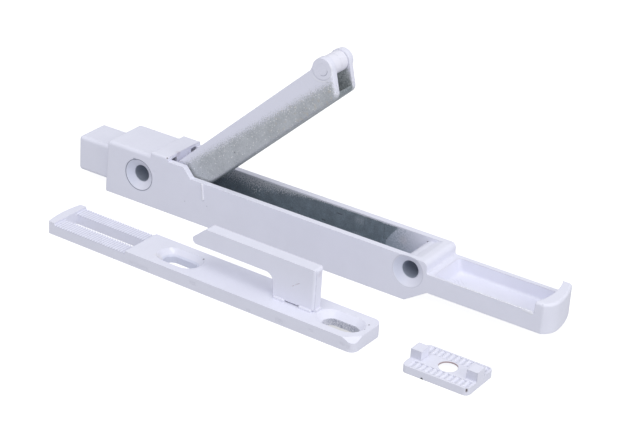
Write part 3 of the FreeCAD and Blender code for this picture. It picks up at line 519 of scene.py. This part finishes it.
def arm_bare(finish):
    """The arm's bare flanks, bare trough and web end, and the distance below the coat's edge."""
    along, above, aside = arm_place(finish)
    wander = finish.noise(0.8, detail=2.0) - 0.5
    grain = finish.noise(0.3, detail=2.0, roughness=0.7) - 0.5
    under_coat = COAT_EDGE_START - along * COAT_EDGE_SLOPE - above
    from_end = ARM_END - (1.5 - above) * ARM_END_SLANT - along
    rim = (from_end + wander + grain * 2.5).below(0.6, 1.6) * aside.above(2.8, 2.9)
    flanks = (under_coat + wander * 1.2 + grain * 6.0).above(-1.0, 1.1) * (1 - rim)
    web_end = above.within((WEB_TOP + WEB_BOTTOM) / 2, 0.5, 0.2)
    trough = (aside.below(ARM_INNER_HALF, ARM_INNER_HALF + 0.1) * above.below(2.2, 2.6)
              * from_end.above(0.5, 2.2).most(web_end))
    return flanks, trough, web_end, under_coat


def flank_colour(finish, along, under_coat):
    """The flanks' bare zinc with white specks near the coat, dark flecks and a warm blush."""
    blush = finish.noise(1.1, detail=1.0).above(0.56, 0.7) * along.above(30, 40)
    speck = (finish.cells(0.62).below(0.16, 0.4)
             * (finish.noise(1.0) + under_coat.below(0.4, 3.0) * 0.22).above(0.48, 0.62))
    flecks = finish.cells(0.9).below(0.06, 0.2) * finish.noise(1.4).above(0.45, 0.6)
    return finish.layered(
        zinc_colour(finish, ARM_LIGHT, ARM_DARK, 0.35),
        (blush, 0.3, ARM_BLUSH),
        (speck, 0.65, ARM_SPECK),
        (flecks, 0.6, CHANNEL_DARK))


def trough_colour(finish, web_end):
    """The mottled zinc inside the arm, darker at the end of its web."""
    mottle = finish.noise(0.45, detail=3.0).above(0.35, 0.7)
    return finish.layered(
        finish.between(mottle, TROUGH_DARK, TROUGH_LIGHT),
        (web_end, 0.45, CHANNEL_DARK))


def arm_finish():
    """The arm: coated on top and round the ears, fading to bare speckled zinc below."""
    finish = Finish("coated_arm")
    along, above, _ = arm_place(finish)
    flanks, trough, web_end, under_coat = arm_bare(finish)
    from_disc = (along - DISC_EDGE[0]).reach(above - DISC_EDGE[1])
    disc_edge_highlight = (from_disc.within(DISC_EDGE_RADIUS, 0.08, 0.27) * ear_front(finish)
                 * above.below(0.5, 2.5))
    nick = finish.near((PIVOT[0] + 16.9, UNIT_Y + 2.3, PIVOT[1] + 11.1), 0.12, 0.25)
    colour = finish.layered(
        coat_colour(finish),
        (flanks, 1, flank_colour(finish, along, under_coat)),
        (trough, 1, trough_colour(finish, web_end)),
        # Painted highlight round the lower part of the near ear's disc
        (disc_edge_highlight, 0.5, COAT_BRIGHT),
        (pin_shade(finish), 0.7, SEAM_SHADE),
        (nick, 0.5, PIT_AND_SHADE_BLACK))
    zinc_grain = flanks * finish.noise(0.3, detail=3.0)
    height = coat_height(finish) + zinc_grain * 0.8 + disc_edge_highlight * 0.5
    finish.paint(Base_Color=colour, Roughness=coat_roughness(finish) + flanks * 0.1,
                 Metallic=flanks * 0.4, Normal=finish.relief(height, 0.05, 0.2))
    return finish.material


def keep_place(finish):
    """Distances along and across the keep from its left front corner."""
    east, north = finish.x - KEEP[0], finish.y - KEEP[1]
    return (east * math.cos(KEEP_TURN) + north * math.sin(KEEP_TURN),
            north * math.cos(KEEP_TURN) - east * math.sin(KEEP_TURN))


def from_slotted_hole(along, across, middle):
    """Distance from the short line along the middle of one of the keep's slotted holes."""
    past_run = (abs(along - middle) - HOLE_RUN).most(0)
    return past_run.reach(across - HOLE_MIDDLE)


def rail_valley_shade(finish, along):
    """Painted shade in the valleys between the teeth of the serrated rails."""
    return (along.valley(RAIL_START + TOOTH_PITCH / 2, TOOTH_PITCH, 0.06, 0.2)
            * along.within((RAIL_START + RAIL_END) / 2, 12.0, 0.2)
            * finish.z.above(RAIL_TOP - 0.5, RAIL_TOP - 0.45)
            * finish.z.below(RAIL_TOP - 0.1, RAIL_TOP - 0.02))


def keep_finish():
    """The keep: white coat, a grey far hole, painted shade in its teeth and near hole, a painted
    highlight, blowholes and knocks in front.
    """
    finish = Finish("coated_keep")
    along, across = keep_place(finish)
    grain = finish.noise(0.35, detail=3.0, roughness=0.75)
    far_hole = (from_slotted_hole(along, across, FAR_HOLE)
                .below(HOLE_RADIUS + 0.05, HOLE_RADIUS + 0.15)
                * finish.z.below(KEEP_THICK - 0.4, KEEP_THICK - 0.3))
    near_hole_shade = (from_slotted_hole(along, across, NEAR_HOLE)
                 .below(HOLE_RADIUS + 0.3, HOLE_RADIUS + 0.6)
                 * finish.z.below(KEEP_THICK - 1.4, KEEP_THICK - 0.6))
    # Speckled grey on the wall of the far hole, darker than the coat
    bare = finish.between(grain.above(0.35, 0.7), KEEP_BORE_DARK, KEEP_BORE_LIGHT)
    knocks = marks(along, finish.z, KEEP_KNOCKS) * across.below(0.1, 0.3)
    pits = marks(along, across, KEEP_PITS) * finish.z.above(1.2, 1.6)
    colour = finish.layered(
        coat_colour(finish),
        (far_hole, 1, bare),
        # Painted shade on the lower wall of the near hole
        (near_hole_shade, 0.5, SHADE_BLUE),
        # Painted shade in the valleys between the rails' teeth
        (rail_valley_shade(finish, along), 0.28, SEAM_SHADE),
        (knocks * grain.above(0.4, 0.6), 0.12, SEAM_SHADE),
        (patch(along, across, (33.9, 4.4), (0.3, 0.3), 1.4), 0.3, STAIN),
        # Painted highlight on the near hole's countersink
        (patch(along, across, (34.2, 9.3), (0.5, 0.1), 0.5), 1, COAT_BRIGHT),
        (pits, 1, PIT_AND_SHADE_BLACK))
    height = coat_height(finish) - knocks * (grain + 0.4) * 0.8 - pits
    finish.paint(Base_Color=colour, Roughness=coat_roughness(finish),
                 Normal=finish.relief(height, 0.06, 0.06))
    return finish.material


def hook_finish():
    """The hook: white coat, with a brown scratch in front and a shaded, smeared right edge."""
    finish = Finish("coated_hook")
    along, across = keep_place(finish)
    slant = finish.z - 8.75 - (along - 75.0) * 0.72
    scratch = (slant.within(0, 0.03, 0.11) * along.within(76.0, 0.9, 0.3)
               * finish.noise(0.5).above(0.3, 0.5) * across.below(5.2, 5.35))
    edge = (across.within(5.75, 0.04, 0.18) * along.above(81.35, 81.5)
            * finish.noise(1.5).above(0.2, 0.5))
    smear = finish.near((KEEP[0] + 81.6, KEEP[1] + 5.6, 13.6), 0.2, 1.0)
    colour = finish.layered(
        coat_colour(finish),
        (edge, 0.3, SEAM_SHADE),
        (smear, 0.2, SMUDGE_AND_SHADE_DARK),
        (scratch, 0.45, RUST))
    finish.paint(Base_Color=colour, Roughness=coat_roughness(finish),
                 Normal=finish.relief(coat_height(finish) - scratch, 0.06, 0.15))
    return finish.material


def clamp_finish():
    """The clamping plate: white coat, rust round its hole, a chipped front corner, and painted
    shade in its grooves and on its lugs' fronts.
    """
    finish = Finish("coated_clamp")
    along, across, up = finish.x - CLAMP[0], finish.y - CLAMP[1], finish.z
    hole_along, hole_across = along - CLAMP_HOLE[0], across - CLAMP_HOLE[1]
    rust = (hole_along.reach(hole_across).within(CLAMP_HOLE_RADIUS, 0.05, 0.17)
            * up.above(1.6, 1.8) * (hole_across * 0.85 - hole_along * 0.5).above(0, 1.0))
    chip = (patch(along, up, (18.0, 1.4), (0.12, 0.35), 0.25)
            * (across + finish.noise(0.4) * 0.8).below(0.6, 1.1))
    nub = finish.near((CLAMP[0] + 5.85, CLAMP[1], 0.1), 0.2, 0.3)
    smear = finish.near((CLAMP[0] + 18.45, CLAMP[1] + 8.2, 2.6), 0.15, 0.5)
    lug_front_shade = (up.above(CLAMP_THICK + 0.1, CLAMP_THICK + 0.4)
                 * across.below(LUG_FRONT + 0.1, LUG_FRONT + 0.2))
    row = (abs(across - RIDGE_ROWS_MIDDLE).within(RIDGE_ROW_OFFSET, 1.6, 0.2)
           * up.above(1.5, 1.6) * up.below(CLAMP_THICK - 0.15, CLAMP_THICK))
    groove_shade = along.valley(RIDGE_FIRST, RIDGE_PITCH, 0.08, 0.35) * row
    colour = finish.layered(
        coat_colour(finish),
        # Painted shade in the ridges' grooves and on the lugs' front faces
        (groove_shade, 0.12, SEAM_SHADE),
        (lug_front_shade, 0.25, SEAM_SHADE),
        (rust, 0.7, RUST),
        (smear, 0.5, SEAM_SHADE),
        (chip, 1, PIT_BROWN),
        (nub, 1, PIT_AND_SHADE_BLACK))
    finish.paint(Base_Color=colour, Roughness=coat_roughness(finish),
                 Normal=finish.relief(coat_height(finish) - chip * 2, 0.06, 0.25))
    return finish.material


def white_coat(name):
    """Plain white powder coat."""
    finish = Finish(name)
    finish.paint(Base_Color=coat_colour(finish), Roughness=coat_roughness(finish),
                 Normal=finish.relief(coat_height(finish), 0.06))
    return finish.material


def pin_finish():
    """The painted end of the roller's pin, flush in its disc."""
    finish = Finish("painted_pin")
    colour = finish.layered(coat_colour(finish), (pin_shade(finish), 0.7, SEAM_SHADE))
    finish.paint(Base_Color=colour, Roughness=coat_roughness(finish),
                 Normal=finish.relief(coat_height(finish), 0.05, 0.03))
    return finish.material


def steel_finish(name):
    """Drawn steel of the spring, the pivot and the dowel."""
    finish = Finish(name)
    finish.paint(Base_Color=STEEL, Metallic=1.0,
                 Roughness=finish.noise(0.4, detail=3.0) * 0.2 + 0.25,
                 Normal=finish.relief(finish.noise(0.3), 0.01, 0.05))
    return finish.material


def nylon_finish():
    """The moulded roller, with the two thin rings that its mould left round it."""
    finish = Finish("white_nylon")
    ring = finish.y.within(ARM_MIDDLE + 0.1, 0.03, 0.11)
    faint_ring = finish.y.within(ARM_MIDDLE - 0.35, 0.03, 0.11) * 0.4
    seam = ring.most(faint_ring) * finish.noise(1.5).above(0.3, 0.55)
    colour = finish.layered(
        finish.between(finish.noise(2.0) * 0.3, NYLON, COAT_THIN),
        (seam, 0.35, SEAM_SHADE))
    finish.paint(Base_Color=colour, Roughness=finish.noise(1.0) * 0.1 + 0.4,
                 Normal=finish.relief(finish.noise(0.8) - seam * 0.8, 0.03, 0.1))
    return finish.material


FINISHES = {
    "body_casting": casting_finish,
    "release_slide": lambda: white_coat("coated_slide"),
    "return_spring": lambda: steel_finish("spring_steel"),
    "slide_stop_pin": lambda: steel_finish("dowel_steel"),
    "pivot_pin": lambda: steel_finish("pivot_steel"),
    "swing_arm": arm_finish,
    "roller": nylon_finish,
    "roller_pin": pin_finish,
    "keep_plate": keep_finish,
    "keep_hook": hook_finish,
    "clamp_plate": clamp_finish,
}


def dress_nodes():
    """Gives every solid of the part its finish."""
    for name, finish in FINISHES.items():
        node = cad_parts[name]
        node.data.materials.clear()
        node.data.materials.append(finish())


def bead(name, first, last, upward, height, depth):
    """A closed bead of coat along a straight line on the front face, with a point at each end.

    Its cross-section is an ellipse that stands across the line. The functions height and depth
    give its half sizes, along upward and out of the face, at each part of the way from the first
    end, 0, to the last, 1.
    """
    steps, sides = 300, 12
    way = np.linspace(0, 1, steps + 2)[1:-1, None]
    turn = np.linspace(0, 2 * np.pi, sides, endpoint=False)[None, :]
    first, last = np.array(first), np.array(last)
    middle = first + way[..., None] * (last - first)
    rings = np.repeat(middle, sides, axis=1)
    rings[..., 1] -= depth(way) * np.cos(turn)
    rings += (height(way) * np.sin(turn))[..., None] * np.array(upward)
    points = np.vstack([rings.reshape(-1, 3), first, last]) * MM
    here = np.arange(steps - 1)[:, None] * sides + np.arange(sides)[None, :]
    beside = np.arange(steps - 1)[:, None] * sides + (np.arange(sides)[None, :] + 1) % sides
    quads = np.stack([here, here + sides, beside + sides, beside], axis=-1).reshape(-1, 4)
    faces = quads.tolist()
    first_point, last_point, last_ring = steps * sides, steps * sides + 1, (steps - 1) * sides
    for side in range(sides):
        after = (side + 1) % sides
        faces.append([first_point, side, after])
        faces.append([last_point, last_ring + after, last_ring + side])
    mesh = bpy.data.meshes.new(name)
    mesh.from_pydata(points.tolist(), [], faces)
    mesh.polygons.foreach_set("use_smooth", [True] * len(faces))
    piece = bpy.data.objects.new(name, mesh)
    bpy.context.scene.collection.objects.link(piece)
    return piece


def ragged(way):
    """Half height of a ragged edge: three unlike sines, squared so that few places stand high."""
    wave = np.sin(way * 61) + np.sin(way * 137 + 1) * 0.7 + np.sin(way * 23 + 2)
    return 0.07 + 0.05 * wave ** 2 * (0.35 + way)


def hanging(way):
    """Half height of a drip: a half sine that leans to its far end, with slight waves."""
    return 0.1 + 0.5 * np.sin(np.pi * way ** 1.6) * (1 + 0.15 * np.sin(way * 19))


def even(way):
    """A steady half size of 0.2 mm that fades only close to both ends."""
    return 0.2 * np.minimum(1, 12 * way * (1 - way))


def coat_beads():
    """The ragged coat along the tray's front rim, the drip at its end, and the mould line."""
    up, left = (0, 0, 1), (-1, 0, 0)
    edge_y = UNIT_Y + 0.12
    drip_z = TRAY_RIM - 0.35
    flash = bead("tray_flash", (TRAY_LEFT, edge_y, TRAY_RIM), (TRAY_RIGHT, edge_y, TRAY_RIM),
                 up, ragged, even)
    drip = bead("tray_drip", (UNIT_X + 129.3, edge_y, drip_z), (TRAY_RIGHT + 0.1, edge_y, drip_z),
                up, hanging, even)
    line = bead("mould_line", MOULD_LINE_FOOT, MOULD_LINE_TOP,
                left, lambda way: even(way) * 1.7, lambda way: even(way) * 1.5)
    finish = Finish("coat_edge")
    finish.paint(Base_Color=finish.between(finish.noise(2.0), COAT, COAT_BRIGHT),
                 Roughness=0.18, Coat_Weight=0.5,
                 Normal=finish.relief(finish.noise(0.4, detail=2.0), 0.04, 0.03))
    for piece in (flash, drip, line):
        piece.data.materials.append(finish.material)
        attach(piece, "fixed_set")


def floor():
    """A plain white floor that gives light of its own, with a painted shadow that dims it under
    the keep's far hole.
    """
    half = 3.0
    mesh = bpy.data.meshes.new("floor")
    mesh.from_pydata([(-half, -half, 0), (half, -half, 0), (half, half, 0), (-half, half, 0)],
                     [], [(0, 1, 2, 3)])
    plane = bpy.data.objects.new("floor", mesh)
    bpy.context.scene.collection.objects.link(plane)
    finish = Finish("floor_white")
    under_hole = (KEEP[0] + FAR_HOLE, KEEP[1] + HOLE_MIDDLE - 1.6, 0)
    # Painted shadow: the floor's glow is dimmed under the keep's far hole
    glow_with_painted_shadow = 1 - finish.near(under_hole, 4.6, 1.0) * 0.6
    finish.paint(Base_Color=FLOOR_GREY, Roughness=0.9, Specular_IOR_Level=0.1,
                 Emission_Color=finish.between(glow_with_painted_shadow, BLACK, WHITE), Emission_Strength=0.8)
    mesh.materials.append(finish.material)
    plane.visible_diffuse = False
    plane.visible_glossy = False


def soft_box(name, place, size, power):
    """A square studio light of a given side, aimed at the middle of the part."""
    light = bpy.data.lights.new(name, "AREA")
    light.shape = "SQUARE"
    light.size = size
    light.energy = power
    lamp = bpy.data.objects.new(name, light)
    lamp.location = place
    aim = Vector((0, 0, 0.015)) - Vector(place)
    lamp.rotation_euler = aim.to_track_quat("-Z", "Y").to_euler()
    bpy.context.scene.collection.objects.link(lamp)


def studio():
    """Even white light from all round, with one soft box above and one to the right."""
    world = bpy.data.worlds.new("studio")
    world.use_nodes = True
    sky = world.node_tree.nodes["Background"]
    sky.inputs["Color"].default_value = (0.97, 0.985, 1.04, 1)
    sky.inputs["Strength"].default_value = 0.565
    bpy.context.scene.world = world
    soft_box("top_light", (0.1, -0.38, 0.85), 0.9, 4.0)
    soft_box("right_light", (0.9, -0.1, 0.4), 0.6, 2.4)
    bpy.context.scene.view_settings.view_transform = "Standard"


def camera():
    """The photo's view: 32 degrees round to the right and 27 degrees up, slightly rolled."""
    lens = bpy.data.cameras.new("photo_view")
    lens.sensor_width = 36.0
    lens.lens = 117.64
    lens.clip_start = 0.01
    view = bpy.data.objects.new("photo_view", lens)
    view.location = (0.25922, -0.39813, 0.25358)
    view.rotation_euler = Euler([math.radians(turn) for turn in (63.2484, -3.4823, 33.6601)])
    bpy.context.scene.collection.objects.link(view)
    bpy.context.scene.camera = view


dress_nodes()
coat_beads()
floor()
studio()
camera()
